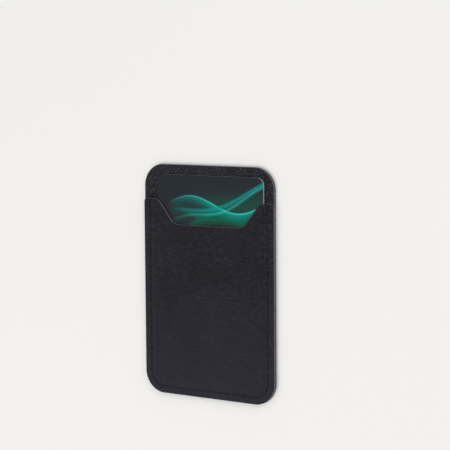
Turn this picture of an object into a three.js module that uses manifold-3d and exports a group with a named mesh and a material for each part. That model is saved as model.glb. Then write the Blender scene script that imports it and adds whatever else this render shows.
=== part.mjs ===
import * as THREE from 'three';
import { mergeVertices } from 'three/addons/utils/BufferGeometryUtils.js';
import Module from 'manifold-3d';

// A leather card holder that clings to a phone by magnets, lying on its back with one card in it.
// Sizes are millimetres. X runs across the holder, Y towards its mouth end, Z out of its front.
// The origin is under the middle of the holder, in the face that meets the phone.

// The card in the pocket, of the common bank card size.
const cardWidth = 53.98;
const cardLength = 85.6;
const cardThickness = 0.76;
const cardCornerRadius = 3.18;

// Room for the card. It lies against the right wall and stands a little off the pocket's floor.
const cardSidePlay = 2.62;
const cardSideGap = 0.1;
const cardTopGap = 4.25;
const cardLift = 4.45;
const pocketSlack = 0.1;

// Thicknesses of the layers, from the phone outwards.
const backSkin = 0.35;
const magnetThickness = 0.45;
const steelThickness = 0.2;
const innerSkin = 0.4;
const frontSkin = 0.7;

// The outline, and the rounding of each skin's own edge.
const cornerRadius = 9.5;
const edgeRounding = 0.18;

// The front skin's sewn border: a sunken channel for the thread, then an S-shaped rise to the pocket.
// The rise is steeper on the skin's inner face, which turns round the card's edge, than outside.
const stitchInset = 3.05;
const channelWidth = 0.7;
const channelDepth = 0.14;
const channelToBend = 0.15;
const bendWidth = 1.15;
const bendSpread = 0.8;

// The mouth: two level shoulders with a slanted thumb notch between them, cut a little off centre.
const shoulderDrop = 14.75;
const shoulderWidth = 7.1;
const flankRun = 8.1;
const notchDepth = 10.7;
const notchShift = 0.9;
const notchTopRadius = 4.5;
const notchBottomRadius = 6;
const shoulderCornerRadius = 1.5;

// The ring of magnets and the bar below it that keeps the holder upright on the phone.
const ringOuterDiameter = 54;
const ringWidth = 4;
const ringMagnetCount = 16;
const ringTopRim = 4.7;
const ringSideRim = 3;
const barLength = 20;
const barWidth = 5;
const barDrop = 4;
const fitGap = 0.3;

// How far the tool that cuts the mouth runs past the skin on every side.
const cutterOverrun = 5;

// Facets of the round forms.
const outlineCornerSteps = 12;
const filletSteps = 6;
const bendSteps = 5;
const roundingSteps = 3;
const channelSteps = 4;
const circleSteps = 96;

// Heights of the stack.
const boardThickness = magnetThickness + steelThickness;
const boardBase = backSkin;
const innerBase = boardBase + boardThickness;
const pocketBase = innerBase + innerSkin;
const pocketHeight = cardThickness + pocketSlack;

// The outline is as wide as the pocket or the magnet ring asks for, and as long as the card asks for.
const seamMargin = stitchInset + channelWidth / 2 + channelToBend;
const pocketInset = seamMargin + bendWidth;
const ringRadius = ringOuterDiameter / 2;
const halfWidthForCard = (cardWidth + cardSidePlay) / 2 + pocketInset;
const halfWidthForRing = ringRadius + fitGap + ringSideRim;
const halfWidth = Math.max(halfWidthForCard, halfWidthForRing);
const halfLength = (cardTopGap + cardLength + cardLift + pocketInset) / 2;
const ringCentreY = halfLength - ringTopRim - fitGap - ringRadius;
const barCentreY = ringCentreY - ringRadius - barDrop - barWidth / 2;

const wasm = await Module();
wasm.setup();

// Turns a closed geometry into a solid that can be joined or cut.
function toSolid(geometry) {
  const bare = geometry.clone();
  bare.deleteAttribute('normal');
  bare.deleteAttribute('uv');
  const merged = mergeVertices(bare);
  const vertProperties = new Float32Array(merged.attributes.position.array);
  const triVerts = new Uint32Array(merged.index.array);
  return new wasm.Manifold(new wasm.Mesh({ numProp: 3, vertProperties, triVerts }));
}

// Turns a solid back into a geometry.
function toGeometry(solid) {
  const mesh = solid.getMesh();
  const geometry = new THREE.BufferGeometry();
  geometry.setAttribute('position', new THREE.BufferAttribute(mesh.vertProperties, mesh.numProp));
  geometry.setIndex(new THREE.BufferAttribute(mesh.triVerts, 1));
  geometry.computeVertexNormals();
  return geometry;
}

// A rounded rectangle about the origin, anticlockwise, as a shape.
function roundedRectangle(halfX, halfY, radius) {
  const shape = new THREE.Shape();
  shape.absarc(halfX - radius, halfY - radius, radius, 0, Math.PI / 2);
  shape.absarc(-halfX + radius, halfY - radius, radius, Math.PI / 2, Math.PI);
  shape.absarc(-halfX + radius, -halfY + radius, radius, Math.PI, 1.5 * Math.PI);
  shape.absarc(halfX - radius, -halfY + radius, radius, 1.5 * Math.PI, 2 * Math.PI);
  shape.closePath();
  return shape;
}

// The holder's outline moved inwards by an inset, as points. Every inset gives as many points.
function outlineLoop(inset) {
  const radius = Math.max(cornerRadius - inset, edgeRounding);
  const reachX = halfWidth - inset - radius;
  const reachY = halfLength - inset - radius;
  const loop = [];
  for (let corner = 0; corner < 4; corner += 1) {
    const signX = corner === 0 || corner === 3 ? 1 : -1;
    const signY = corner < 2 ? 1 : -1;
    for (let step = 0; step <= outlineCornerSteps; step += 1) {
      const angle = (corner + step / outlineCornerSteps) * (Math.PI / 2);
      const x = signX * reachX + radius * Math.cos(angle);
      const y = signY * reachY + radius * Math.sin(angle);
      loop.push(new THREE.Vector2(x, y));
    }
  }
  return loop;
}

// Sweeps a profile of [inset, height] pairs around the outline. The profile runs from the inner end
// of the underside, out round the edge and back in over the top, and flat caps close both ends.
function sweepSheet(profile) {
  const positions = [];
  const indices = [];
  const loops = profile.map(([inset]) => outlineLoop(inset));
  const count = loops[0].length;
  loops.forEach((loop, row) => {
    loop.forEach((point) => positions.push(point.x, point.y, profile[row][1]));
  });
  for (let row = 0; row < profile.length - 1; row += 1) {
    for (let i = 0; i < count; i += 1) {
      const next = (i + 1) % count;
      const here = row * count;
      const above = here + count;
      indices.push(here + i, here + next, above + next);
      indices.push(here + i, above + next, above + i);
    }
  }
  const underside = THREE.ShapeUtils.triangulateShape(loops[0], []);
  underside.forEach(([a, b, c]) => indices.push(c, b, a));
  const top = (profile.length - 1) * count;
  const upside = THREE.ShapeUtils.triangulateShape(loops[profile.length - 1], []);
  upside.forEach(([a, b, c]) => indices.push(top + a, top + b, top + c));
  const geometry = new THREE.BufferGeometry();
  geometry.setAttribute('position', new THREE.Float32BufferAttribute(positions, 3));
  geometry.setIndex(indices);
  geometry.computeVertexNormals();
  return geometry;
}

// Quarter round of a sheet's upper edge, from its side to its top face.
function upperRounding(topHeight) {
  const profile = [];
  for (let step = 0; step <= roundingSteps; step += 1) {
    const angle = (step / roundingSteps) * (Math.PI / 2);
    const inset = edgeRounding * (1 - Math.cos(angle));
    profile.push([inset, topHeight - edgeRounding * (1 - Math.sin(angle))]);
  }
  return profile;
}

// Quarter round of a sheet's lower edge, from its bottom face to its side.
function lowerRounding(bottomHeight) {
  const flipped = upperRounding(0).map(([inset, height]) => [inset, bottomHeight - height]);
  return flipped.reverse();
}

// The thread's channel across the border's top face, a shallow round-bottomed dip.
function stitchChannel(topHeight) {
  const profile = [];
  for (let step = 0; step <= channelSteps; step += 1) {
    const across = (2 * step) / channelSteps - 1;
    const depth = channelDepth * (1 - across * across);
    profile.push([stitchInset + (channelWidth / 2) * across, topHeight - depth]);
  }
  return profile;
}

// One face of the moulded rise from border to pocket: two equal tangent arcs over a run.
function mouldedBend(baseHeight, rise, run) {
  const turn = Math.min(2 * Math.atan(rise / run), Math.PI / 2);
  const radius = run / (2 * Math.sin(turn));
  const profile = [];
  for (let step = 0; step <= bendSteps; step += 1) {
    const angle = (step / bendSteps) * turn;
    const inset = seamMargin + radius * Math.sin(angle);
    profile.push([inset, baseHeight + radius * (1 - Math.cos(angle))]);
  }
  for (let step = bendSteps - 1; step >= 0; step -= 1) {
    const angle = (step / bendSteps) * turn;
    const inset = seamMargin + run - radius * Math.sin(angle);
    profile.push([inset, baseHeight + rise - radius * (1 - Math.cos(angle))]);
  }
  return profile;
}

// Adds a rounded corner to a path: a straight to the fillet's start, then its arc.
function addFillet(path, before, corner, after, radius) {
  const back = before.clone().sub(corner);
  const ahead = after.clone().sub(corner);
  const halfAngle = back.angleTo(ahead) / 2;
  const room = Math.min(back.length(), ahead.length()) / 2;
  const tangent = Math.min(radius / Math.tan(halfAngle), room);
  const arcRadius = tangent * Math.tan(halfAngle);
  back.normalize();
  ahead.normalize();
  const start = corner.clone().addScaledVector(back, tangent);
  const middle = back.clone().add(ahead).normalize();
  const centre = corner.clone().addScaledVector(middle, arcRadius / Math.sin(halfAngle));
  const end = corner.clone().addScaledVector(ahead, tangent);
  const startAngle = Math.atan2(start.y - centre.y, start.x - centre.x);
  const endAngle = Math.atan2(end.y - centre.y, end.x - centre.x);
  const clockwise = back.cross(ahead) > 0;
  path.absarc(centre.x, centre.y, arcRadius, startAngle, endAngle, clockwise);
}

// What the mouth takes off the front skin: all above the shoulders, and the thumb notch.
function mouthCutter() {
  const shoulderY = halfLength - shoulderDrop;
  const notchY = shoulderY - notchDepth;
  const notchTopHalf = halfWidth - shoulderWidth;
  const notchBottomHalf = notchTopHalf - flankRun;
  const corners = [
    [-halfWidth, shoulderY - cutterOverrun, 0],
    [-halfWidth, shoulderY, shoulderCornerRadius],
    [notchShift - notchTopHalf, shoulderY, notchTopRadius],
    [notchShift - notchBottomHalf, notchY, notchBottomRadius],
    [notchShift + notchBottomHalf, notchY, notchBottomRadius],
    [notchShift + notchTopHalf, shoulderY, notchTopRadius],
    [halfWidth, shoulderY, shoulderCornerRadius],
    [halfWidth, shoulderY - cutterOverrun, 0],
  ];
  const points = corners.map(([x, y]) => new THREE.Vector2(x, y));
  const sideX = halfWidth + cutterOverrun;
  const endY = halfLength + cutterOverrun;
  const cornerStart = shoulderY - shoulderCornerRadius;
  const shape = new THREE.Shape();
  shape.moveTo(-sideX, endY);
  shape.lineTo(-sideX, cornerStart);
  for (let i = 1; i < points.length - 1; i += 1) {
    addFillet(shape, points[i - 1], points[i], points[i + 1], corners[i][2]);
  }
  shape.lineTo(sideX, cornerStart);
  shape.lineTo(sideX, endY);
  shape.closePath();
  const depth = frontSkin + pocketHeight + 2 * cutterOverrun;
  const geometry = new THREE.ExtrudeGeometry(shape, {
    depth,
    bevelEnabled: false,
    curveSegments: filletSteps,
  });
  geometry.translate(0, 0, pocketBase - cutterOverrun);
  return geometry;
}

function leather(name, colour, roughness) {
  return new THREE.MeshStandardMaterial({ name, color: colour, roughness, metalness: 0 });
}

const materials = {
  grainLeather: leather('grain_leather', 0x2c2b31, 0.5),
  pebbledLeather: leather('pebbled_leather', 0x27262b, 0.65),
  backLeather: leather('back_leather', 0x232227, 0.8),
  board: new THREE.MeshStandardMaterial({ name: 'board', color: 0x3a3a3c, roughness: 0.7 }),
  steel: new THREE.MeshStandardMaterial({
    name: 'steel',
    color: 0x9a9ca0,
    roughness: 0.35,
    metalness: 1,
  }),
  magnet: new THREE.MeshStandardMaterial({
    name: 'magnet',
    color: 0xb4b6ba,
    roughness: 0.28,
    metalness: 1,
  }),
  card: new THREE.MeshStandardMaterial({ name: 'card', color: 0x2a2f3c, roughness: 0.35 }),
};

function namedMesh(name, geometry, material) {
  const mesh = new THREE.Mesh(geometry, material);
  mesh.name = name;
  return mesh;
}

// The thin skin that lies on the phone, with its outer edge rounded.
function backPanel() {
  const profile = lowerRounding(0);
  profile.push([0, backSkin]);
  profile.unshift([pocketInset, 0]);
  profile.push([pocketInset, backSkin]);
  return namedMesh('back_panel', sweepSheet(profile), materials.backLeather);
}

// The skin that backs the pocket and shows as a border round the card above the mouth.
function innerPanel() {
  const profile = [[pocketInset, innerBase], [0, innerBase]];
  profile.push(...upperRounding(pocketBase));
  profile.push([pocketInset, pocketBase]);
  return namedMesh('inner_panel', sweepSheet(profile), materials.pebbledLeather);
}

// The moulded front of the pocket: sewn border, rise, raised middle and the cut mouth.
function frontPanel() {
  const borderTop = pocketBase + frontSkin;
  const under = mouldedBend(pocketBase, pocketHeight, bendWidth).reverse();
  const over = mouldedBend(borderTop, pocketHeight, bendWidth + bendSpread);
  const edge = upperRounding(borderTop);
  const profile = [...under, [0, pocketBase], ...edge, ...stitchChannel(borderTop), ...over];
  const sheet = toSolid(sweepSheet(profile));
  const cut = sheet.subtract(toSolid(mouthCutter()));
  return namedMesh('front_panel', toGeometry(cut), materials.grainLeather);
}

// The stiff board between the skins, cut out for the magnet ring and for the bar.
function stiffenerBoard() {
  const shape = new THREE.Shape(outlineLoop(0));
  const ringHole = new THREE.Path();
  ringHole.absarc(0, ringCentreY, ringRadius + fitGap, 0, 2 * Math.PI, true);
  const slotX = barLength / 2 + fitGap;
  const slotTop = barCentreY + barWidth / 2 + fitGap;
  const slotBottom = barCentreY - barWidth / 2 - fitGap;
  const barSlot = new THREE.Path();
  barSlot.moveTo(-slotX, slotBottom);
  barSlot.lineTo(-slotX, slotTop);
  barSlot.lineTo(slotX, slotTop);
  barSlot.lineTo(slotX, slotBottom);
  barSlot.closePath();
  shape.holes.push(ringHole, barSlot);
  const geometry = new THREE.ExtrudeGeometry(shape, {
    depth: boardThickness,
    bevelEnabled: false,
    curveSegments: circleSteps / 2,
  });
  const mesh = namedMesh('stiffener_board', geometry, materials.board);
  mesh.position.z = boardBase;
  return mesh;
}

// The round of board left inside the magnet ring.
function centreDisc() {
  const radius = ringRadius - ringWidth - fitGap;
  const geometry = new THREE.CylinderGeometry(radius, radius, boardThickness, circleSteps);
  geometry.rotateX(Math.PI / 2);
  const mesh = namedMesh('centre_disc', geometry, materials.board);
  mesh.position.set(0, ringCentreY, boardBase + boardThickness / 2);
  return mesh;
}

// The thin steel ring behind the magnets, which keeps their field off the card.
function steelRing() {
  const shape = new THREE.Shape();
  shape.absarc(0, 0, ringRadius, 0, 2 * Math.PI);
  const bore = new THREE.Path();
  bore.absarc(0, 0, ringRadius - ringWidth, 0, 2 * Math.PI, true);
  shape.holes.push(bore);
  const geometry = new THREE.ExtrudeGeometry(shape, {
    depth: steelThickness,
    bevelEnabled: false,
    curveSegments: circleSteps / 2,
  });
  const mesh = namedMesh('steel_ring', geometry, materials.steel);
  mesh.position.set(0, ringCentreY, boardBase + magnetThickness);
  return mesh;
}

// The ring's magnets, as equal arcs with a small gap between neighbours.
function ringMagnets() {
  const group = new THREE.Group();
  const inner = ringRadius - ringWidth;
  const pitch = (2 * Math.PI) / ringMagnetCount;
  const gapAngle = fitGap / inner;
  const arc = pitch - gapAngle;
  for (let i = 0; i < ringMagnetCount; i += 1) {
    const shape = new THREE.Shape();
    shape.absarc(0, 0, ringRadius, -arc / 2, arc / 2);
    shape.absarc(0, 0, inner, arc / 2, -arc / 2, true);
    shape.closePath();
    const geometry = new THREE.ExtrudeGeometry(shape, {
      depth: magnetThickness,
      bevelEnabled: false,
      curveSegments: Math.ceil(circleSteps / ringMagnetCount / 2),
    });
    const number = String(i + 1).padStart(2, '0');
    const mesh = namedMesh(`ring_magnet_${number}`, geometry, materials.magnet);
    mesh.rotation.z = pitch * (i + 0.5);
    group.add(mesh);
  }
  group.position.set(0, ringCentreY, boardBase);
  return group;
}

// A flat bar in the board's slot below the ring.
function slotBar(name, thickness, base, material) {
  const geometry = new THREE.BoxGeometry(barLength, barWidth, thickness);
  const mesh = namedMesh(name, geometry, material);
  mesh.position.set(0, barCentreY, base + thickness / 2);
  return mesh;
}

function pocketCard() {
  const shape = roundedRectangle(cardWidth / 2, cardLength / 2, cardCornerRadius);
  const geometry = new THREE.ExtrudeGeometry(shape, {
    depth: cardThickness,
    bevelEnabled: false,
    curveSegments: filletSteps,
  });
  const mesh = namedMesh('card', geometry, materials.card);
  const cardX = halfWidth - pocketInset - cardSideGap - cardWidth / 2;
  const cardY = halfLength - cardTopGap - cardLength / 2;
  mesh.position.set(cardX, cardY, pocketBase);
  return mesh;
}

const holder = new THREE.Group();
holder.add(backPanel());
holder.add(stiffenerBoard());
holder.add(centreDisc());
holder.add(ringMagnets());
holder.add(steelRing());
holder.add(slotBar('alignment_magnet', magnetThickness, boardBase, materials.magnet));
holder.add(slotBar('alignment_backing', steelThickness, boardBase + magnetThickness, materials.steel));
holder.add(innerPanel());
holder.add(frontPanel());
holder.add(pocketCard());

export default holder;
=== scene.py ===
import math

import bmesh
import bpy
import numpy as np
from mathutils import Matrix, Vector, kdtree, noise
from mathutils.geometry import delaunay_2d_cdt


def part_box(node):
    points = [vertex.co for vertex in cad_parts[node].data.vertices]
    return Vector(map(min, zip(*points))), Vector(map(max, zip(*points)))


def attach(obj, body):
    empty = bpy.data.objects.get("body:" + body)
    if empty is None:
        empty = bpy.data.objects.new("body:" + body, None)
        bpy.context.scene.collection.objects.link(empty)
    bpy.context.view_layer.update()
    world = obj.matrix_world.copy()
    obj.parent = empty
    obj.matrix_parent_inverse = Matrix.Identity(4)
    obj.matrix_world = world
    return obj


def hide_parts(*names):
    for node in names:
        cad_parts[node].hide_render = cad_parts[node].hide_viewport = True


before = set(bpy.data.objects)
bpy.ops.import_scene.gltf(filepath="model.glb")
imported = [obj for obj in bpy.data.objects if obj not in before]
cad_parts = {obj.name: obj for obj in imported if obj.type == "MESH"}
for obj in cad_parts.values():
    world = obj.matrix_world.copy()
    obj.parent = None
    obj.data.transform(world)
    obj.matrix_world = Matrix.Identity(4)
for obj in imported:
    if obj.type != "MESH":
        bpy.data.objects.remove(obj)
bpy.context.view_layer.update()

mm = 0.001

# Heights and the outline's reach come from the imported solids
backLow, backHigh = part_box("back_panel")
innerLow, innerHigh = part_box("inner_panel")
frontLow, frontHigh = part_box("front_panel")
cardLow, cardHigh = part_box("card")

holder = {
    "halfWidth": backHigh.x,
    "halfLength": backHigh.y,
    "cornerRadius": 9.5 * mm,
    "cutStep": 0.45 * mm,        # spacing of points along a cut edge
}

mouth = {
    "shoulderY": frontHigh.y,
    "shoulderWidth": 7.1 * mm,
    "flankRun": 8.1 * mm,
    "depth": 10.7 * mm,
    "shift": 0.9 * mm,
    "topRadius": 4.5 * mm,
    "bottomRadius": 6.0 * mm,
    "outerRadius": 1.5 * mm,
}

seam = {
    "inset": 3.05 * mm,
    "channelWidth": 1.0 * mm,
    "channelDepth": 0.13 * mm,
    "stitches": 71,
    "stitchLength": 2.2 * mm,
    "threadWidth": 0.46 * mm,
    "frontLift": 0.04 * mm,      # of the thread's ends above the channel's floor
    "frontRise": 0.2 * mm,
    "rearLift": 0.3 * mm,        # of the thread's ends above the back face
    "rearRise": -0.02 * mm,
    "holeDepth": 0.18 * mm,
    "holeRadius": 0.34 * mm,
    "startBelowShoulder": 1.4 * mm,
    "seed": 7,
}


# Outlines

def roundedLoop(corners, step):
    # corners are (x, y, radius), anticlockwise
    points = []
    total = len(corners)
    for i in range(total):
        before = Vector(corners[i - 1][:2])
        here = Vector(corners[i][:2])
        after = Vector(corners[(i + 1) % total][:2])
        radius = corners[i][2]
        back = (before - here).normalized()
        ahead = (after - here).normalized()
        half = back.angle(ahead) / 2
        start = here + back * (radius / math.tan(half))
        centre = here + (back + ahead).normalized() * (radius / math.sin(half))
        side = 1 if back.cross(ahead) < 0 else -1
        turn = math.pi - 2 * half
        steps = max(5, int(math.ceil(radius * turn / step)))
        for k in range(steps + 1):
            spin = Matrix.Rotation(side * turn * k / steps, 2)
            points.append(centre + spin @ (start - centre))
    dense = []
    for i, point in enumerate(points):
        following = points[(i + 1) % len(points)]
        pieces = max(1, int(round((following - point).length / step)))
        for k in range(pieces):
            dense.append(point.lerp(following, k / pieces))
    return np.array([(p.x, p.y) for p in dense])


def fullOutline():
    w, h, r = holder["halfWidth"], holder["halfLength"], holder["cornerRadius"]
    corners = [(-w, -h, r), (w, -h, r), (w, h, r), (-w, h, r)]
    return roundedLoop(corners, holder["cutStep"])


def frontOutline():
    w, h, r = holder["halfWidth"], holder["halfLength"], holder["cornerRadius"]
    top = mouth["shoulderY"]
    low = top - mouth["depth"]
    topHalf = w - mouth["shoulderWidth"]
    lowHalf = topHalf - mouth["flankRun"]
    shift = mouth["shift"]
    corners = [
        (-w, -h, r), (w, -h, r),
        (w, top, mouth["outerRadius"]),
        (shift + topHalf, top, mouth["topRadius"]),
        (shift + lowHalf, low, mouth["bottomRadius"]),
        (shift - lowHalf, low, mouth["bottomRadius"]),
        (shift - topHalf, top, mouth["topRadius"]),
        (-w, top, mouth["outerRadius"]),
    ]
    return roundedLoop(corners, holder["cutStep"])


def offsetLoop(loop, distance):
    tangent = np.roll(loop, -1, 0) - np.roll(loop, 1, 0)
    tangent /= np.linalg.norm(tangent, axis=1)[:, None]
    inward = np.stack([-tangent[:, 1], tangent[:, 0]], 1)
    return loop + inward * np.reshape(distance, (-1, 1))


def insetOf(x, y):
    # how far a point lies inside the holder's full outline
    r = holder["cornerRadius"]
    qx = np.abs(x) - (holder["halfWidth"] - r)
    qy = np.abs(y) - (holder["halfLength"] - r)
    outside = np.hypot(np.maximum(qx, 0), np.maximum(qy, 0))
    return r - outside - np.minimum(np.maximum(qx, qy), 0)


# Flat fills and sheets

def insideLoop(loop, x, y):
    inside = np.zeros(len(x), bool)
    ends = np.roll(loop, -1, 0)
    for (x0, y0), (x1, y1) in zip(loop, ends):
        if y0 == y1:
            continue
        crosses = (y0 > y) != (y1 > y)
        inside ^= crosses & (x < (x1 - x0) * (y - y0) / (y1 - y0) + x0)
    return inside


def fillLoop(loop, spacing):
    # triangles inside a loop, on an even field of points; the loop's own points come first
    low, high = loop.min(0), loop.max(0)
    rowStep = spacing * math.sqrt(3) / 2
    columns = np.arange(low[0], high[0], spacing)
    rows = np.arange(low[1], high[1], rowStep)
    gx, gy = np.meshgrid(columns, rows)
    gx = gx + (np.arange(len(rows)) % 2)[:, None] * spacing / 2
    gx, gy = gx.ravel(), gy.ravel()
    keep = insideLoop(loop, gx, gy)
    gx, gy = gx[keep], gy[keep]
    tree = kdtree.KDTree(len(loop))
    for i, point in enumerate(loop):
        tree.insert((point[0], point[1], 0), i)
    tree.balance()
    clearance = spacing * 0.6
    clear = np.array([tree.find((a, b, 0))[2] > clearance for a, b in zip(gx, gy)])
    field = np.concatenate([loop, np.stack([gx[clear], gy[clear]], 1)]) / mm
    border = list(range(len(loop)))
    made = delaunay_2d_cdt([Vector(p) for p in field], [], [border], 1, 1e-6)
    place = {}
    for new, old in enumerate(made[3]):
        for number in old:
            place[number] = new
    order = [place[i] for i in border]
    others = [i for i in range(len(made[0])) if i not in set(order)]
    renumber = {old: new for new, old in enumerate(order + others)}
    points = np.array([made[0][i] for i in order + others]) * mm
    faces = [[renumber[i] for i in face] for face in made[2]]
    return points, faces


def flipFaces(faces):
    return [face[::-1] for face in faces]


def sheetPiece(name, outline, topHeight, underHeight, look):
    # a sheet with its own heights above and below, and a rounded cut edge all round
    count = len(outline)
    topRound, underRound = look["topRound"], look["underRound"]
    topPoints, topFaces = fillLoop(offsetLoop(outline, topRound), look["topSpacing"])
    underPoints, underFaces = fillLoop(offsetLoop(outline, underRound), look["underSpacing"])
    topZ = topHeight(topPoints[:, 0], topPoints[:, 1])
    underZ = underHeight(underPoints[:, 0], underPoints[:, 1])
    verts = [(x, y, z) for (x, y), z in zip(topPoints, topZ)]
    faces = list(topFaces)
    marks = [0] * len(faces)
    rings = [list(range(count))]
    steps = look["roundSteps"]
    edgeTop = topZ[:count]
    edgeUnder = underZ[:count]
    for k in range(1, steps + 1):
        angle = k / steps * math.pi / 2
        loop = offsetLoop(outline, topRound * (1 - math.sin(angle)))
        heights = edgeTop - topRound * (1 - math.cos(angle))
        rings.append(list(range(len(verts), len(verts) + count)))
        verts.extend((x, y, z) for (x, y), z in zip(loop, heights))
    for k in range(steps):
        angle = k / steps * math.pi / 2
        loop = offsetLoop(outline, underRound * (1 - math.cos(angle)))
        heights = edgeUnder + underRound * (1 - math.sin(angle))
        rings.append(list(range(len(verts), len(verts) + count)))
        verts.extend((x, y, z) for (x, y), z in zip(loop, heights))
    first = len(verts)
    verts.extend((x, y, z) for (x, y), z in zip(underPoints, underZ))
    rings.append(list(range(first, first + count)))
    paintedFrom = np.broadcast_to(look["paintedFrom"], count)
    for level, (upper, lower) in enumerate(zip(rings, rings[1:])):
        depth = min(level, len(rings) - 2 - level)
        for i in range(count):
            j = (i + 1) % count
            faces.append([upper[i], lower[i], lower[j], upper[j]])
            marks.append(int(depth >= paintedFrom[i]))
    for face in flipFaces(underFaces):
        faces.append([first + i for i in face])
        marks.append(look["underMark"])
    mesh = bpy.data.meshes.new(name)
    mesh.from_pydata(verts, [], faces)
    mesh.polygons.foreach_set("material_index", marks)
    mesh.shade_smooth()
    mesh.update()
    piece = bpy.data.objects.new(name, mesh)
    bpy.context.scene.collection.objects.link(piece)
    return piece


def softNoise(x, y, size, seed):
    # smooth unevenness between about -1 and 1 at a given size
    values = [noise.noise(Vector((a / size, b / size, seed))) for a, b in zip(x, y)]
    return np.array(values) * 1.6


# The seam's path and its holes

def seamPath(inset, endY):
    w, h = holder["halfWidth"] - inset, holder["halfLength"] - inset
    r = holder["cornerRadius"] - inset
    points = [Vector((-w, endY))]
    for start, cx in ((math.pi, -w + r), (1.5 * math.pi, w - r)):
        for k in range(25):
            angle = start + k / 24 * math.pi / 2
            points.append(Vector((cx + r * math.cos(angle), -h + r + r * math.sin(angle))))
    points.append(Vector((w, endY)))
    return points


def evenPoints(path, count):
    # points at equal steps along a path, its two ends among them
    lengths = [0.0]
    for a, b in zip(path, path[1:]):
        lengths.append(lengths[-1] + (b - a).length)
    spots = np.linspace(0, lengths[-1], count)
    xs = np.interp(spots, lengths, [p.x for p in path])
    ys = np.interp(spots, lengths, [p.y for p in path])
    return np.stack([xs, ys], 1)


seamEndY = mouth["shoulderY"] - seam["startBelowShoulder"]
stitchPath = seamPath(seam["inset"], seamEndY)
halfSteps = evenPoints(stitchPath, 2 * seam["stitches"] - 1)
holeSpots = halfSteps[1::2]


def holeDips(x, y):
    tree = kdtree.KDTree(len(holeSpots))
    for i, (a, b) in enumerate(holeSpots):
        tree.insert((a, b, 0), i)
    tree.balance()
    dips = np.zeros(len(x))
    inset = insetOf(x, y)
    near = np.abs(inset - seam["inset"]) < 3 * seam["holeRadius"]
    for i in np.nonzero(near)[0]:
        distance = tree.find((x[i], y[i], 0))[2]
        dips[i] = math.exp(-(distance / seam["holeRadius"]) ** 2)
    return dips * seam["holeDepth"]


def channelDip(inset):
    across = (inset - seam["inset"]) / (seam["channelWidth"] / 2)
    return seam["channelDepth"] * np.clip(1 - across ** 2, 0, 1) ** 1.5


# Front leather

front = {
    "skin": 0.7 * mm,
    "seamMargin": 3.5 * mm,
    "innerRun": 1.2 * mm,
    "outerRun": 2.6 * mm,
    "crownDrop": 0.1 * mm,       # the raised middle falls away this much towards the bend
    "crownReach": 14 * mm,
    "unevenness": 0.035 * mm,
    "waveSize": 9 * mm,
    "rippleSize": 3.2 * mm,
    "borderFadeFrom": 0.3 * mm,  # past the seam margin
    "cornerReach": 9 * mm,
    "cornerGrain": 0.55,
    "sideRound": 0.26 * mm,      # worn rounder along the sewn sides than in the mouth
    "mouthRound": 0.12 * mm,
    "underRound": 0.08 * mm,
    "roundSteps": 4,
    "topSpacing": 0.42 * mm,
    "underSpacing": 1.1 * mm,
    "underMark": 2,
    "sidePaintedFrom": 4,        # bands of the rounded edge that stay unpainted
    "mouthPaintedFrom": 1,
}


def bendFace(base, run):
    # one face of the rise from border to pocket: two equal tangent arcs over its run
    rise = frontHigh.z - frontLow.z - front["skin"]
    turn = 2 * math.atan(rise / run)
    radius = run / (2 * math.sin(turn))
    angles = np.linspace(0, turn, 14)
    along = radius * np.sin(angles)
    climb = radius * (1 - np.cos(angles))
    start, end = front["seamMargin"], front["seamMargin"] + run
    reach = np.concatenate([start + along, end - along[::-1]])
    return reach, np.concatenate([base + climb, base + rise - climb[::-1]])


def frontTop(x, y):
    inset = insetOf(x, y)
    reach, height = bendFace(frontLow.z + front["skin"], front["outerRun"])
    z = np.interp(inset, reach, height)
    z -= channelDip(inset) + holeDips(x, y)
    crownStart = front["seamMargin"] + front["outerRun"]
    along = np.clip((inset - crownStart) / front["crownReach"], 0, 1)
    raised = np.clip((inset - front["seamMargin"]) / front["outerRun"], 0, 1)
    z -= front["crownDrop"] * raised * (1 - along) ** 2
    amount = front["unevenness"] * (0.25 + 0.75 * raised)
    waves = softNoise(x, y, front["waveSize"], 3.1) * 0.6
    ripples = softNoise(x, y, front["rippleSize"], 8.4) * 0.4
    return z + amount * (waves + ripples - 0.9)


def markBorder(piece):
    # 1 on the sewn border, fading to 0 where the leather is pulled smooth over the card
    mesh = piece.data
    spots = np.empty(len(mesh.vertices) * 3)
    mesh.vertices.foreach_get("co", spots)
    spots = spots.reshape(-1, 3)
    inset = insetOf(spots[:, 0], spots[:, 1])
    start = front["seamMargin"] + front["borderFadeFrom"]
    border = np.clip(1 - (inset - start) / front["outerRun"], 0, 1)
    fromCorner = spots[:, 1] - mouth["shoulderY"] + front["cornerReach"]
    corner = np.clip(fromCorner / front["cornerReach"], 0, 1)
    border = np.maximum(border, front["cornerGrain"] * corner)
    layer = mesh.attributes.new("borderGrain", "FLOAT", "POINT")
    layer.data.foreach_set("value", border)


def frontUnder(x, y):
    reach, height = bendFace(frontLow.z, front["innerRun"])
    return np.interp(insetOf(x, y), reach, height)


# Inner leather, the pebbled border round the card

inner = {
    "unevenness": 0.03 * mm,
    "lumpSize": 1.5 * mm,
    "waveSize": 5 * mm,
    "bareFrom": 0.5 * mm,        # the unevenness starts this far past the mouth
    "bareFade": 1.5 * mm,
    "topRound": 0.2 * mm,
    "underRound": 0.02 * mm,
    "roundSteps": 4,
    "topSpacing": 0.55 * mm,
    "underSpacing": 3 * mm,
    "underMark": 0,
    "paintedFrom": 0,
}


def innerTop(x, y):
    z = np.full(len(x), innerHigh.z)
    bare = np.clip((y - mouth["shoulderY"] - inner["bareFrom"]) / inner["bareFade"], 0, 1)
    lumps = softNoise(x, y, inner["lumpSize"], 1.7) * 0.5
    waves = softNoise(x, y, inner["waveSize"], 5.2) * 0.5
    return z + bare * inner["unevenness"] * (lumps + waves - 1.0)


def innerUnder(x, y):
    return np.full(len(x), innerLow.z)


# Skin on the back face, with the seam's other face

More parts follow.
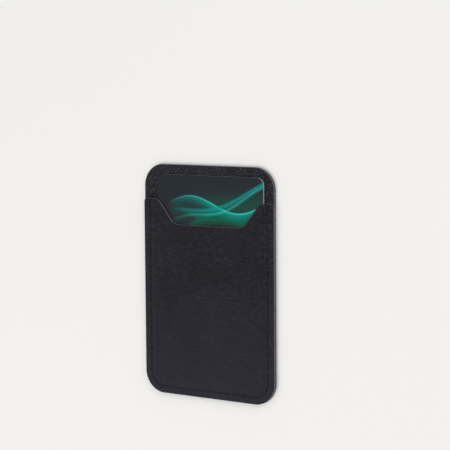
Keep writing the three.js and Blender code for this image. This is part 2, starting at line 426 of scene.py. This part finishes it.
rear = {
    "topRound": 0.02 * mm,
    "underRound": 0.2 * mm,
    "roundSteps": 4,
    "topSpacing": 3 * mm,
    "underSpacing": 0.6 * mm,
    "underMark": 2,
    "paintedFrom": 0,
    "channelDepth": 0.16 * mm,
    "channelWidth": 1.3 * mm,
    "channelPastSeam": 1.2 * mm,
    "channelFade": 0.8 * mm,
}


def rearUnder(x, y):
    inset = insetOf(x, y)
    across = (inset - seam["inset"]) / (rear["channelWidth"] / 2)
    dip = rear["channelDepth"] * np.clip(1 - across ** 2, 0, 1) ** 1.5
    below = (seamEndY + rear["channelPastSeam"] - y) / rear["channelFade"]
    return backLow.z + dip * np.clip(below, 0, 1)


def rearTop(x, y):
    return np.full(len(x), backHigh.z)


# Node helpers

def newMaterial(name):
    material = bpy.data.materials.new(name)
    material.use_nodes = True
    return material, material.node_tree


def addNode(tree, kind, settings=None, inputs=None):
    node = tree.nodes.new(kind)
    for key, value in (settings or {}).items():
        setattr(node, key, value)
    for key, value in (inputs or {}).items():
        if isinstance(value, bpy.types.NodeSocket):
            tree.links.new(value, node.inputs[key])
        else:
            node.inputs[key].default_value = value
    return node


def mathNode(tree, operation, a, b=None, c=None, clamp=False):
    inputs = {0: a}
    if b is not None:
        inputs[1] = b
    if c is not None:
        inputs[2] = c
    settings = {"operation": operation, "use_clamp": clamp}
    return addNode(tree, "ShaderNodeMath", settings, inputs).outputs[0]


def mixColour(tree, amount, first, second):
    settings = {"data_type": "RGBA"}
    node = addNode(tree, "ShaderNodeMix", settings, {0: amount, 6: first, 7: second})
    return node.outputs[2]


def mapRange(tree, value, low, high, newLow, newHigh):
    inputs = {
        "Value": value,
        "From Min": low, "From Max": high,
        "To Min": newLow, "To Max": newHigh,
    }
    return addNode(tree, "ShaderNodeMapRange", None, inputs).outputs[0]


def bumpOf(tree, height, distance, strength):
    inputs = {"Height": height, "Distance": distance, "Strength": strength}
    return addNode(tree, "ShaderNodeBump", None, inputs).outputs[0]


def colour(red, green, blue):
    # a colour as seen on screen, 0 to 255, as the shader wants it
    made = []
    for part in (red, green, blue):
        part = part / 255
        made.append(part / 12.92 if part <= 0.04045 else ((part + 0.055) / 1.055) ** 2.4)
    return (*made, 1.0)


def placed(tree, scale, offset=(0, 0, 0)):
    coords = addNode(tree, "ShaderNodeTexCoord").outputs["Object"]
    inputs = {"Vector": coords, "Scale": scale, "Location": offset}
    return addNode(tree, "ShaderNodeMapping", None, inputs).outputs[0]


def noiseOf(tree, vector, scale, detail=2.0, roughness=0.5):
    inputs = {"Vector": vector, "Scale": scale, "Detail": detail, "Roughness": roughness}
    return addNode(tree, "ShaderNodeTexNoise", None, inputs).outputs[0]


def pebblesOf(tree, vector, scale, smooth=0.35):
    settings = {"feature": "SMOOTH_F1"}
    inputs = {"Vector": vector, "Scale": scale, "Smoothness": smooth, "Randomness": 1.0}
    return addNode(tree, "ShaderNodeTexVoronoi", settings, inputs).outputs["Distance"]


sharedGrain = {
    "warpScale": 420.0,
    "warpReach": 0.0009,
    "patchScale": 75.0,
    "creaseWidth": 0.11,
    "blotchScale": 38.0,
    "blotchAmount": 0.22,
    "gainAlong": (-0.04, 0.02),  # from the foot to the mouth
    # the painted sheen towards the foot fades out over this reach
    "paintedSheenAlong": (-0.045, 0.0),
}


def warpedPlace(tree, plain):
    # places shifted a little by noise, so that the pebbles aren't regular
    inputs = {"Vector": plain, "Scale": sharedGrain["warpScale"], "Detail": 2.0}
    warp = addNode(tree, "ShaderNodeTexNoise", None, inputs).outputs["Color"]
    inputs = {0: warp, "Scale": sharedGrain["warpReach"]}
    offset = addNode(tree, "ShaderNodeVectorMath", {"operation": "SCALE"}, inputs).outputs[0]
    inputs = {0: plain, 1: offset}
    return addNode(tree, "ShaderNodeVectorMath", {"operation": "ADD"}, inputs).outputs[0]


def leatherMaterial(name, look):
    # pebbled grain, long creases across the holder and fine pores, as one height field
    material, tree = newMaterial(name)
    shader = tree.nodes["Principled BSDF"]
    plain = placed(tree, (1, 1, 1))
    pebbles = pebblesOf(tree, warpedPlace(tree, plain), look["pebbleScale"])
    pebbles = mapRange(tree, pebbles, 0.0, 0.7, 1.0, 0.0)
    stretched = placed(tree, (look["creaseStretch"], 1.0, 1.0), (0.3, 0.1, 0.0))
    crease = noiseOf(tree, stretched, look["creaseScale"], 4.0, 0.62)
    crease = mathNode(tree, "ABSOLUTE", mathNode(tree, "SUBTRACT", crease, 0.5))
    crease = mapRange(tree, crease, 0.0, sharedGrain["creaseWidth"], 0.0, 1.0)
    patches = noiseOf(tree, plain, sharedGrain["patchScale"], 2.0)
    patches = mapRange(tree, patches, 0.38, 0.62, 0.35, 1.0)
    creaseDepth = mathNode(tree, "MULTIPLY", crease, patches)
    pores = noiseOf(tree, plain, look["poreScale"], 3.0, 0.6)
    drawn = placed(tree, (look["slubStretch"], 1.0, 1.0))
    slubs = noiseOf(tree, drawn, look["slubScale"], 2.0, 0.5)
    pebbleAmount = look["pebbleAmount"]
    if look["borderPebbles"]:
        settings = {"attribute_name": "borderGrain"}
        border = addNode(tree, "ShaderNodeAttribute", settings).outputs["Fac"]
        added = mathNode(tree, "MULTIPLY", border, look["borderPebbles"])
        pebbleAmount = mathNode(tree, "ADD", added, pebbleAmount)
    height = mathNode(tree, "MULTIPLY", pebbles, pebbleAmount)
    height = mathNode(tree, "MULTIPLY_ADD", creaseDepth, look["creaseAmount"], height)
    height = mathNode(tree, "MULTIPLY_ADD", pores, look["poreAmount"], height)
    height = mathNode(tree, "MULTIPLY_ADD", slubs, look["slubAmount"], height)
    along = addNode(tree, "ShaderNodeSeparateXYZ", None, {0: plain}).outputs[1]
    start, end = sharedGrain["gainAlong"]
    gain = mapRange(tree, along, start, end, look["footGain"], look["mouthGain"])
    relief = mathNode(tree, "MULTIPLY", gain, look["bump"])
    bump = bumpOf(tree, height, relief, look["bumpStrength"])
    # painted shade: the colour follows the grain's height, darker in the creases and between
    # the pebbles and lighter on the raised grain
    paintedGrainShading = mapRange(tree, height, look["tintLow"], look["tintHigh"], -0.5, 0.5)
    paintedGrainShading = mathNode(tree, "MULTIPLY_ADD", paintedGrainShading, gain, 0.5, clamp=True)
    tint = mixColour(tree, paintedGrainShading, look["dark"], look["light"])
    blotch = noiseOf(tree, plain, sharedGrain["blotchScale"], 3.0)
    blotch = mapRange(tree, blotch, 0.3, 0.7, 0.0, sharedGrain["blotchAmount"])
    # painted highlight: near the foot the colour is mixed towards the light one, as a broad
    # sheen would; the blotches are random tone
    start, end = sharedGrain["paintedSheenAlong"]
    foot = mapRange(tree, along, start, end, look["paintedFootSheen"], 0.0)
    tint = mixColour(tree, mathNode(tree, "ADD", blotch, foot), tint, look["light"])
    rough = mapRange(tree, pores, 0.3, 0.7, look["roughLow"], look["roughHigh"])
    tree.links.new(tint, shader.inputs["Base Color"])
    tree.links.new(rough, shader.inputs["Roughness"])
    tree.links.new(bump, shader.inputs["Normal"])
    shader.inputs["Specular IOR Level"].default_value = look["specular"]
    shader.inputs["Sheen Weight"].default_value = look["sheen"]
    shader.inputs["Sheen Roughness"].default_value = 0.5
    return material


def edgeMaterial(name, look):
    # a cut leather edge under a thin satin coat, a little uneven along its length; its light
    # grey is painted highlight, for the light the edges catch
    material, tree = newMaterial(name)
    shader = tree.nodes["Principled BSDF"]
    plain = placed(tree, (1, 1, 1))
    grain = noiseOf(tree, plain, 900.0, 4.0, 0.6)
    spread = mapRange(tree, grain, 0.35, 0.65, 0.0, 1.0)
    tint = mixColour(tree, spread, look["dark"], look["light"])
    bump = bumpOf(tree, grain, 0.00004, 0.5)
    tree.links.new(tint, shader.inputs["Base Color"])
    tree.links.new(mapRange(tree, grain, 0.3, 0.7, 0.42, 0.58), shader.inputs["Roughness"])
    tree.links.new(bump, shader.inputs["Normal"])
    shader.inputs["Specular IOR Level"].default_value = look["specular"]
    return material


threadLook = {
    "dark": colour(10, 10, 13),
    "light": colour(32, 31, 37),
    "plyScale": 900.0,
    "plyDepth": 0.00006,
}


def threadMaterial():
    # two plies twisted together, as slanted ridges; their colour follows the ridges too, with
    # painted sheen on the crests and painted shade between them
    material, tree = newMaterial("seamThreadFinish")
    shader = tree.nodes["Principled BSDF"]
    plain = placed(tree, (1, 1, 1))
    inputs = {
        "Vector": plain, "Scale": threadLook["plyScale"],
        "Distortion": 1.0, "Detail": 1.0,
    }
    settings = {"wave_type": "BANDS", "bands_direction": "DIAGONAL"}
    plies = addNode(tree, "ShaderNodeTexWave", settings, inputs).outputs["Fac"]
    tint = mixColour(tree, plies, threadLook["dark"], threadLook["light"])
    bump = bumpOf(tree, plies, threadLook["plyDepth"], 0.8)
    tree.links.new(tint, shader.inputs["Base Color"])
    tree.links.new(bump, shader.inputs["Normal"])
    shader.inputs["Roughness"].default_value = 0.65
    shader.inputs["Specular IOR Level"].default_value = 0.12
    return material


leatherLooks = {
    "front": {
        "dark": colour(15, 14, 22), "light": colour(43, 42, 52),
        # the foot tone is painted sheen: the front leather lighter towards its foot
        "footGain": 0.9, "mouthGain": 1.5, "paintedFootSheen": 0.3,
        "pebbleScale": 1350.0, "pebbleAmount": 0.4, "borderPebbles": 1.3,
        "creaseStretch": 0.26, "creaseScale": 900.0, "creaseAmount": 0.55,
        "poreScale": 3200.0, "poreAmount": 0.4,
        "slubStretch": 0.34, "slubScale": 1300.0, "slubAmount": 0.95,
        "bump": 0.0002, "bumpStrength": 0.75,
        "tintLow": 0.6, "tintHigh": 1.9,
        "roughLow": 0.44, "roughHigh": 0.58,
        "specular": 0.1, "sheen": 0.0,
    },
    "inner": {
        "dark": colour(9, 8, 14), "light": colour(66, 65, 76),
        "footGain": 1.0, "mouthGain": 1.0, "paintedFootSheen": 0.0,
        "pebbleScale": 1250.0, "pebbleAmount": 1.5, "borderPebbles": 0.0,
        "creaseStretch": 0.8, "creaseScale": 700.0, "creaseAmount": 0.3,
        "poreScale": 2600.0, "poreAmount": 0.5,
        "slubStretch": 1.0, "slubScale": 500.0, "slubAmount": 0.4,
        "bump": 0.0004, "bumpStrength": 1.0,
        "tintLow": 0.85, "tintHigh": 1.75,
        "roughLow": 0.4, "roughHigh": 0.55,
        "specular": 0.15, "sheen": 0.0,
    },
    "rear": {
        "dark": colour(22, 22, 25), "light": colour(36, 35, 40),
        "footGain": 1.0, "mouthGain": 1.0, "paintedFootSheen": 0.0,
        "pebbleScale": 2600.0, "pebbleAmount": 0.3, "borderPebbles": 0.0,
        "creaseStretch": 1.0, "creaseScale": 1400.0, "creaseAmount": 0.2,
        "poreScale": 5200.0, "poreAmount": 0.9,
        "slubStretch": 1.0, "slubScale": 700.0, "slubAmount": 0.3,
        "bump": 0.00008, "bumpStrength": 0.6,
        "tintLow": 0.2, "tintHigh": 1.1,
        "roughLow": 0.72, "roughHigh": 0.88,
        "specular": 0.12, "sheen": 0.12,
    },
}
# the edges' light greys are painted highlight, for the light they catch
edgeHighlightLooks = {
    "front": {"dark": colour(90, 89, 94), "light": colour(114, 113, 118), "specular": 0.3},
    "back": {"dark": colour(78, 77, 81), "light": colour(100, 99, 103), "specular": 0.3},
}

frontGrain = leatherMaterial("frontGrainLeather", leatherLooks["front"])
pebbleGrain = leatherMaterial("pebbledLeather", leatherLooks["inner"])
rearNap = leatherMaterial("rearNapLeather", leatherLooks["rear"])
frontEdgeHighlight = edgeMaterial("frontCutEdgeHighlight", edgeHighlightLooks["front"])
backEdgeHighlight = edgeMaterial("backCutEdgeHighlight", edgeHighlightLooks["back"])
threadFinish = threadMaterial()
print("materials of the leather made")


def dress(piece, slotName, nodeName, *finishes):
    for finish in finishes:
        piece.data.materials.append(finish)
    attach(piece, "root")
    if nodeName:
        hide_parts(nodeName)


def frontSheet():
    # its cut edge is rounder along the sewn sides than in the mouth
    outline = frontOutline()
    fromSide = insetOf(outline[:, 0], outline[:, 1])
    rounds = [front["sideRound"], front["mouthRound"]]
    topRound = np.interp(fromSide, [0, mouth["outerRadius"]], rounds)
    alongSide = fromSide < mouth["outerRadius"] / 2
    painted = np.where(alongSide, front["sidePaintedFrom"], front["mouthPaintedFrom"])
    look = dict(front, topRound=topRound, paintedFrom=painted)
    piece = sheetPiece("frontLeather", outline, frontTop, frontUnder, look)
    markBorder(piece)
    return piece


frontPiece = frontSheet()
dress(frontPiece, "grain_leather", "front_panel", frontGrain, frontEdgeHighlight, rearNap)
innerPiece = sheetPiece("innerLeather", fullOutline(), innerTop, innerUnder, inner)
dress(innerPiece, "pebbled_leather", "inner_panel", pebbleGrain, backEdgeHighlight)
rearPiece = sheetPiece("rearLeather", fullOutline(), rearTop, rearUnder, rear)
dress(rearPiece, "back_leather", "back_panel", rearNap, backEdgeHighlight, rearNap)
print("leather sheets made")


# Stitches, laid along the seam by Geometry Nodes

def stitchTree():
    tree = bpy.data.node_groups.new("seamStitches", "GeometryNodeTree")
    sockets = {
        "path": "Geometry", "stitches": "Int", "stitchLength": "Float", "threadWidth": "Float",
        "rise": "Float", "seed": "Int", "threadFinish": "Material",
    }
    for name, kind in sockets.items():
        tree.interface.new_socket(name, in_out="INPUT", socket_type="NodeSocket" + kind)
    tree.interface.new_socket("thread", in_out="OUTPUT", socket_type="NodeSocketGeometry")
    given = addNode(tree, "NodeGroupInput").outputs
    line = addNode(tree, "GeometryNodeMeshToCurve", None, {0: given["path"]})
    spots = addNode(tree, "GeometryNodeCurveToPoints", {"mode": "COUNT"},
                    {"Curve": line.outputs[0], "Count": given["stitches"]})
    half = mathNode(tree, "MULTIPLY", given["stitchLength"], 0.5)
    minusHalf = mathNode(tree, "MULTIPLY", given["stitchLength"], -0.5)
    sink = mathNode(tree, "MULTIPLY", given["rise"], -1.0)
    start = addNode(tree, "ShaderNodeCombineXYZ", None, {0: minusHalf, 2: sink})
    middle = addNode(tree, "ShaderNodeCombineXYZ", None, {2: given["rise"]})
    end = addNode(tree, "ShaderNodeCombineXYZ", None, {0: half, 2: sink})
    arc = addNode(tree, "GeometryNodeCurveQuadraticBezier", None,
                  {"Resolution": 9, "Start": start.outputs[0], "Middle": middle.outputs[0],
                   "End": end.outputs[0]})
    radius = mathNode(tree, "MULTIPLY", given["threadWidth"], 0.5)
    ring = addNode(tree, "GeometryNodeCurvePrimitiveCircle", None,
                   {"Resolution": 8, "Radius": radius})
    thread = addNode(tree, "GeometryNodeCurveToMesh", None,
                     {"Curve": arc.outputs[0], "Profile Curve": ring.outputs[0],
                      "Fill Caps": True})
    smooth = addNode(tree, "GeometryNodeSetShadeSmooth", None, {"Geometry": thread.outputs[0]})
    aim = addNode(tree, "FunctionNodeAlignRotationToVector", {"axis": "X", "pivot_axis": "Z"},
                  {"Vector": spots.outputs["Tangent"]})
    number = addNode(tree, "GeometryNodeInputIndex").outputs[0]
    slant = addNode(tree, "FunctionNodeRandomValue", {"data_type": "FLOAT"},
                    {2: -0.05, 3: 0.05, "ID": number, "Seed": given["seed"]})
    twist = addNode(tree, "ShaderNodeCombineXYZ", None, {2: slant.outputs[1]})
    turned = addNode(tree, "FunctionNodeRotateRotation", {"rotation_space": "LOCAL"},
                     {"Rotation": aim.outputs[0], "Rotate By": twist.outputs[0]})
    size = addNode(tree, "FunctionNodeRandomValue", {"data_type": "FLOAT"},
                   {2: 0.94, 3: 1.04, "ID": number, "Seed": given["seed"]})
    laid = addNode(tree, "GeometryNodeInstanceOnPoints", None,
                   {"Points": spots.outputs["Points"], "Instance": smooth.outputs[0],
                    "Rotation": turned.outputs[0], "Scale": size.outputs[1]})
    real = addNode(tree, "GeometryNodeRealizeInstances", None, {0: laid.outputs[0]})
    done = addNode(tree, "GeometryNodeSetMaterial", None,
                   {"Geometry": real.outputs[0], "Material": given["threadFinish"]})
    addNode(tree, "NodeGroupOutput", None, {0: done.outputs[0]})
    return tree


def setInputs(modifier, values):
    for item in modifier.node_group.interface.items_tree:
        if item.in_out == "INPUT" and item.name in values:
            modifier[item.identifier] = values[item.name]


def asMesh(source, modifier):
    # the evaluated result as a plain mesh, with the modifier gone
    depsgraph = bpy.context.evaluated_depsgraph_get()
    made = bpy.data.meshes.new_from_object(source.evaluated_get(depsgraph))
    source.modifiers.remove(modifier)
    old = source.data
    source.data = made
    bpy.data.meshes.remove(old)


def stitchRow(name, height, rise, tree):
    mesh = bpy.data.meshes.new(name)
    points = [(p.x, p.y, height) for p in stitchPath]
    mesh.from_pydata(points, [(i, i + 1) for i in range(len(points) - 1)], [])
    row = bpy.data.objects.new(name, mesh)
    bpy.context.scene.collection.objects.link(row)
    modifier = row.modifiers.new("stitches", "NODES")
    modifier.node_group = tree
    setInputs(modifier, {
        "stitches": seam["stitches"],
        "stitchLength": seam["stitchLength"],
        "threadWidth": seam["threadWidth"],
        "rise": rise,
        "seed": seam["seed"],
        "threadFinish": threadFinish,
    })
    asMesh(row, modifier)
    shell = bmesh.new()
    shell.from_mesh(row.data)
    bmesh.ops.recalc_face_normals(shell, faces=shell.faces)
    shell.to_mesh(row.data)
    shell.free()
    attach(row, "root")


stitches = stitchTree()
borderTop = frontLow.z + front["skin"]
frontThreadZ = borderTop - seam["channelDepth"] + seam["frontLift"]
stitchRow("frontStitches", frontThreadZ, seam["frontRise"], stitches)
stitchRow("rearStitches", backLow.z + seam["rearLift"], seam["rearRise"], stitches)
print("stitches made")


# The card: printed faces on a pale core

card = {
    "cornerRadius": 3.18 * mm,
    "topRound": 0.07 * mm,
    "underRound": 0.07 * mm,
    "roundSteps": 3,
    "topSpacing": 2 * mm,
    "underSpacing": 4 * mm,
    "underMark": 0,
    "paintedFrom": 3,
    "navy": colour(39, 44, 51),
    "teal": colour(4, 148, 140),
    "green": colour(12, 96, 72),
    "pale": colour(64, 208, 190),
    "coreDark": colour(178, 180, 184),
    "coreLight": colour(206, 208, 212),
    "plainEnd": -20 * mm,        # the design starts to the right of this
    "fade": 22 * mm,
}
ribbons = [
    {"waves": 60.0, "phase": 1.2, "swing": 0.0020, "slope": 0.10, "height": 0.0300,
     "upWidth": 0.0045, "downWidth": 0.0060, "ink": "green", "strength": 0.4},
    {"waves": 150.0, "phase": 0.9, "swing": 0.0034, "slope": 0.12, "height": 0.0268,
     "upWidth": 0.0006, "downWidth": 0.0040, "ink": "green", "strength": 0.95},
    {"waves": 90.0, "phase": 5.3, "swing": 0.0040, "slope": -0.30, "height": 0.0300,
     "upWidth": 0.0016, "downWidth": 0.0004, "ink": "green", "strength": 0.8},
    {"waves": 128.0, "phase": 2.7, "swing": 0.0036, "slope": 0.02, "height": 0.0330,
     "upWidth": 0.0004, "downWidth": 0.0022, "ink": "teal", "strength": 0.75},
    {"waves": 128.0, "phase": 2.7, "swing": 0.0036, "slope": 0.02, "height": 0.0331,
     "upWidth": 0.0002, "downWidth": 0.0003, "ink": "pale", "strength": 0.8},
    {"waves": 104.0, "phase": 4.2, "swing": 0.0028, "slope": 0.26, "height": 0.0335,
     "upWidth": 0.0004, "downWidth": 0.0015, "ink": "teal", "strength": 0.7},
    {"waves": 140.0, "phase": 3.6, "swing": 0.0022, "slope": 0.34, "height": 0.0300,
     "upWidth": 0.0003, "downWidth": 0.0007, "ink": "pale", "strength": 0.35},
]


def cardOutline():
    w = (cardHigh.x - cardLow.x) / 2
    h = (cardHigh.y - cardLow.y) / 2
    centre = (cardLow + cardHigh) / 2
    r = card["cornerRadius"]
    corners = [(-w, -h, r), (w, -h, r), (w, h, r), (-w, h, r)]
    return roundedLoop(corners, 0.5 * mm) + np.array([centre.x, centre.y])


def softBand(tree, x, y, look):
    # how much of a waving ribbon a point takes, from 0 to 1, softer on one side
    phase = mathNode(tree, "MULTIPLY_ADD", x, look["waves"], look["phase"])
    wave = mathNode(tree, "MULTIPLY", mathNode(tree, "SINE", phase), look["swing"])
    slope = mathNode(tree, "MULTIPLY", x, look["slope"])
    line = mathNode(tree, "ADD", mathNode(tree, "ADD", wave, slope), look["height"])
    off = mathNode(tree, "SUBTRACT", y, line)
    above = mathNode(tree, "MAXIMUM", off, 0.0)
    below = mathNode(tree, "MAXIMUM", mathNode(tree, "MULTIPLY", off, -1.0), 0.0)
    reach = mathNode(tree, "DIVIDE", above, look["upWidth"])
    fall = mathNode(tree, "DIVIDE", below, look["downWidth"])
    both = mathNode(tree, "ADD", reach, fall)
    squared = mathNode(tree, "MULTIPLY", both, both)
    return mathNode(tree, "EXPONENT", mathNode(tree, "MULTIPLY", squared, -1.0))


def printMaterial():
    material, tree = newMaterial("cardPrint")
    shader = tree.nodes["Principled BSDF"]
    plain = placed(tree, (1, 1, 1))
    parts = addNode(tree, "ShaderNodeSeparateXYZ", None, {0: plain}).outputs
    x, y = parts[0], parts[1]
    tint = card["navy"]
    fade = mapRange(tree, x, card["plainEnd"], card["plainEnd"] + card["fade"], 0.0, 1.0)
    for ribbon in ribbons:
        amount = mathNode(tree, "MULTIPLY", softBand(tree, x, y, ribbon), ribbon["strength"])
        amount = mathNode(tree, "MULTIPLY", amount, fade)
        tint = mixColour(tree, amount, tint, card[ribbon["ink"]])
    specks = noiseOf(tree, plain, 2400.0, 2.0)
    rough = mapRange(tree, specks, 0.3, 0.7, 0.3, 0.36)
    bump = bumpOf(tree, specks, 0.00001, 0.3)
    tree.links.new(tint, shader.inputs["Base Color"])
    tree.links.new(rough, shader.inputs["Roughness"])
    tree.links.new(bump, shader.inputs["Normal"])
    shader.inputs["Specular IOR Level"].default_value = 0.04
    return material


def coreMaterial():
    material, tree = newMaterial("cardCore")
    shader = tree.nodes["Principled BSDF"]
    layers = noiseOf(tree, placed(tree, (1, 1, 12)), 600.0, 2.0)
    tint = mixColour(tree, layers, card["coreDark"], card["coreLight"])
    tree.links.new(tint, shader.inputs["Base Color"])
    shader.inputs["Roughness"].default_value = 0.45
    return material


cardPiece = sheetPiece(
    "cardBody", cardOutline(),
    lambda x, y: np.full(len(x), cardHigh.z),
    lambda x, y: np.full(len(x), cardLow.z),
    card)
dress(cardPiece, "card_plastic", "card", printMaterial(), coreMaterial())
print("card made")


# Solids that stay as they are: the board's edge shows, the rest is sealed inside

def sheetPlastic():
    material, tree = newMaterial("boardSheet")
    shader = tree.nodes["Principled BSDF"]
    fibres = noiseOf(tree, placed(tree, (1, 3, 1)), 500.0, 4.0)
    tint = mixColour(tree, fibres, colour(50, 49, 54), colour(66, 65, 70))
    tree.links.new(tint, shader.inputs["Base Color"])
    shader.inputs["Roughness"].default_value = 0.55
    return material


def brightMetal(name, tone, rough, brushed):
    material, tree = newMaterial(name)
    shader = tree.nodes["Principled BSDF"]
    lines = noiseOf(tree, placed(tree, brushed), 900.0, 3.0)
    tint = mixColour(tree, lines, tone, colour(214, 216, 220))
    tree.links.new(tint, shader.inputs["Base Color"])
    spread = mapRange(tree, lines, 0.2, 0.8, rough * 0.8, rough * 1.3)
    tree.links.new(spread, shader.inputs["Roughness"])
    shader.inputs["Metallic"].default_value = 1.0
    return material


boardFinish = sheetPlastic()
steelFinish = brightMetal("thinSteel", colour(176, 178, 182), 0.32, (1, 14, 1))
nickelFinish = brightMetal("nickelPlate", colour(190, 190, 190), 0.2, (2, 2, 2))
for nodeName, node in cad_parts.items():
    if nodeName in ("stiffener_board", "centre_disc"):
        finish = boardFinish
    elif nodeName in ("steel_ring", "alignment_backing"):
        finish = steelFinish
    elif nodeName.startswith("ring_magnet") or nodeName == "alignment_magnet":
        finish = nickelFinish
    else:
        continue
    node.data.materials.clear()
    node.data.materials.append(finish)
print("inner solids finished")


# Floor, light and camera

stageLook = {
    "floorSize": 3.0,
    "floorDrop": 0.05 * mm,
    "floorColour": colour(243, 242, 240),
    "worldStrength": 0.6,
    "backdropStrength": 0.88,
    "keyPower": 6.05,
    "keySize": 0.8,
    "keyPlace": (-0.45, -0.55, 1.1),
    "fillPower": 3.6,
    "fillSize": 0.8,
    "fillPlace": (0.8, 0.55, 0.6),
}


def makeFloor():
    size = stageLook["floorSize"] / 2
    mesh = bpy.data.meshes.new("floor")
    z = -stageLook["floorDrop"]
    corners = [(-size, -size, z), (size, -size, z), (size, size, z), (-size, size, z)]
    mesh.from_pydata(corners, [], [(0, 1, 2, 3)])
    floor = bpy.data.objects.new("floor", mesh)
    bpy.context.scene.collection.objects.link(floor)
    material, tree = newMaterial("paleFloor")
    shader = tree.nodes["Principled BSDF"]
    shader.inputs["Base Color"].default_value = stageLook["floorColour"]
    shader.inputs["Roughness"].default_value = 0.9
    shader.inputs["Specular IOR Level"].default_value = 0.0
    mesh.materials.append(material)


def makeLamp(name, power, size, place):
    lamp = bpy.data.lights.new(name, "AREA")
    lamp.shape = "SQUARE"
    lamp.size = size
    lamp.energy = power
    holderObject = bpy.data.objects.new(name, lamp)
    bpy.context.scene.collection.objects.link(holderObject)
    holderObject.location = place
    aim = Vector((0, 0, 0)) - Vector(place)
    holderObject.rotation_euler = aim.to_track_quat("-Z", "Y").to_euler()


def makeWorld():
    # even light from all round; seen straight on or in a reflection it is the pale backdrop
    world = bpy.data.worlds.new("studio")
    world.use_nodes = True
    bpy.context.scene.world = world
    tree = world.node_tree
    background = tree.nodes["Background"]
    background.inputs["Color"].default_value = (1.0, 0.996, 0.988, 1.0)
    path = addNode(tree, "ShaderNodeLightPath").outputs
    seen = mathNode(tree, "ADD", path["Is Camera Ray"], path["Is Glossy Ray"])
    seen = mathNode(tree, "ADD", seen, path["Is Transmission Ray"], clamp=True)
    added = stageLook["backdropStrength"] - stageLook["worldStrength"]
    strength = mathNode(tree, "MULTIPLY_ADD", seen, added, stageLook["worldStrength"])
    tree.links.new(strength, background.inputs["Strength"])


cameraLook = {
    "focalPixels": 1656.82,      # of the photograph's 450
    "imagePixels": 450,
    "sensor": 36.0,
    "yaw": 34.306,               # to the holder's right, degrees
    "pitch": 5.704,              # towards its mouth end, degrees
    "roll": -0.416,
    "aim": (7.65 * mm, 24.743 * mm, 0.0),
    "distance": 693.625 * mm,
}


def makeCamera():
    yaw = math.radians(cameraLook["yaw"])
    pitch = math.radians(cameraLook["pitch"])
    roll = math.radians(cameraLook["roll"])
    level = math.cos(pitch)
    back = Vector((math.sin(yaw) * level, math.sin(pitch), math.cos(yaw) * level))
    right = Vector((math.cos(yaw), 0.0, -math.sin(yaw)))
    up = back.cross(right)
    rolledRight = right * math.cos(roll) + up * math.sin(roll)
    rolledUp = up * math.cos(roll) - right * math.sin(roll)
    data = bpy.data.cameras.new("camera")
    data.sensor_fit = "HORIZONTAL"
    data.sensor_width = cameraLook["sensor"]
    data.lens = cameraLook["focalPixels"] / cameraLook["imagePixels"] * cameraLook["sensor"]
    data.clip_start = 0.01
    camera = bpy.data.objects.new("camera", data)
    bpy.context.scene.collection.objects.link(camera)
    turn = Matrix((rolledRight, rolledUp, back)).transposed().to_4x4()
    place = Vector(cameraLook["aim"]) + back * cameraLook["distance"]
    camera.matrix_world = Matrix.Translation(place) @ turn
    bpy.context.scene.camera = camera


makeFloor()
makeLamp("key", stageLook["keyPower"], stageLook["keySize"], stageLook["keyPlace"])
makeLamp("fill", stageLook["fillPower"], stageLook["fillSize"], stageLook["fillPlace"])
makeWorld()
makeCamera()
bpy.context.scene.view_settings.view_transform = "Standard"
print("stage made")
